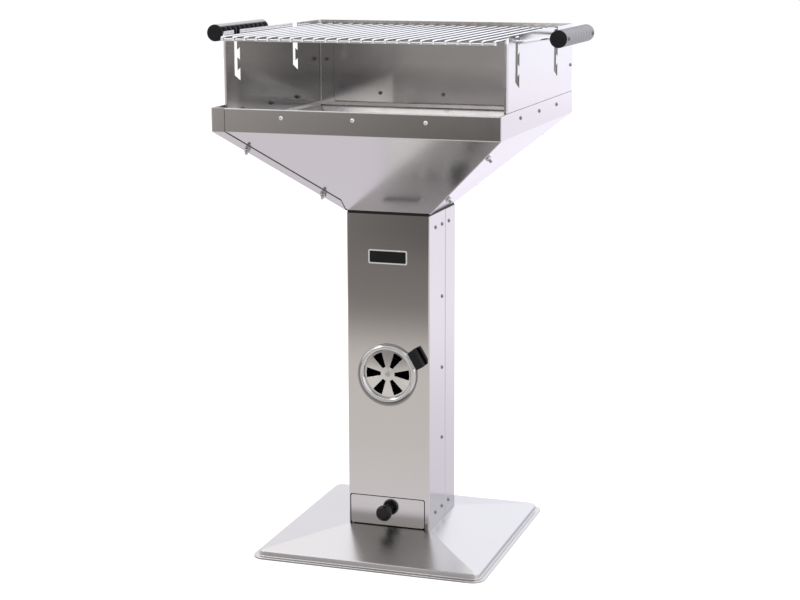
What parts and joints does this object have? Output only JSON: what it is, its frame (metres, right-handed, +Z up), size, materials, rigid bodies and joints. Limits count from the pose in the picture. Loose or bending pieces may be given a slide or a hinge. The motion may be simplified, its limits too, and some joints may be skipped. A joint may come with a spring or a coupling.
{
  "type": "pedestal barbecue grill",
  "caption": "Free-standing stainless barbecue: square column on a pressed foot, funnel-shaped fire bowl with wind guard, wire grate with ribbed grips, rotary air damper and ash drawer.",
  "frame": {"origin": "on the ground under the middle of the column", "axes": "+Z up, -Y towards the front with the drawer and the damper, +X to the right seen from the front"},
  "size_m": [0.6774, 0.5278, 0.9714],
  "materials": {
    "stainless_sheet": "satin to polished stainless sheet",
    "polished_steel": "bright polished wire and pressings",
    "fastener_steel": "plain stainless fasteners",
    "black_grip": "semi-matt moulded black",
    "black_knob": "glossy black",
    "plate_black": "black with a plain silver border, left blank",
    "grate_steel": "plain steel wire"
  },
  "bodies": {
    "stand": {"foot_plate": "stainless_sheet", "foot_collar": "stainless_sheet", "column_front": "stainless_sheet", "column_back": "stainless_sheet", "seam_screws": "fastener_steel", "collar_screws": "fastener_steel", "neck_collar": "stainless_sheet", "bowl_front": "stainless_sheet", "bowl_right": "stainless_sheet", "bowl_back": "stainless_sheet", "bowl_left": "stainless_sheet", "bowl_bolts": "fastener_steel", "bowl_nuts": "fastener_steel", "rim_screws": "fastener_steel", "rim_nuts": "fastener_steel", "guard_left": "stainless_sheet", "guard_back": "stainless_sheet", "guard_right": "stainless_sheet", "guard_bolts": "fastener_steel", "guard_nuts": "fastener_steel", "damper_seat": "stainless_sheet", "damper_rivet": "polished_steel", "name_plate": "plate_black"},
    "damper": {"damper_disc": "polished_steel", "damper_grip": "black_grip"},
    "drawer": {"drawer_front": "stainless_sheet", "drawer_tray": "stainless_sheet", "drawer_knob": "black_knob", "drawer_screw": "fastener_steel"},
    "cooking_grate": {"grate_bars": "polished_steel", "grate_end_wires": "polished_steel", "handle_rod_front": "polished_steel", "handle_rod_back": "polished_steel", "grip_left": "black_grip", "grip_right": "black_grip", "grip_caps": "black_grip", "grip_screws": "fastener_steel"},
    "coal_grate": {"coal_frame": "grate_steel", "coal_bars": "grate_steel"}
  },
  "joints": [
    {"name": "damper_turn", "type": "hinge", "parent": "stand", "child": "damper", "pos_m": [0, -0.08, 0.335], "axis": [0, -1, 0], "range_deg": [-30, 0]},
    {"name": "drawer_slide", "type": "slide", "parent": "stand", "child": "drawer", "axis": [0, -1, 0], "range_m": [0, 0.135]},
    {"name": "cooking_grate_lift", "type": "slide", "parent": "stand", "child": "cooking_grate", "axis": [0, 0, 1], "range_m": [0, 0.15]},
    {"name": "coal_grate_lift", "type": "slide", "parent": "stand", "child": "coal_grate", "axis": [0, 0, 1], "range_m": [0, 0.2]}
  ]
}
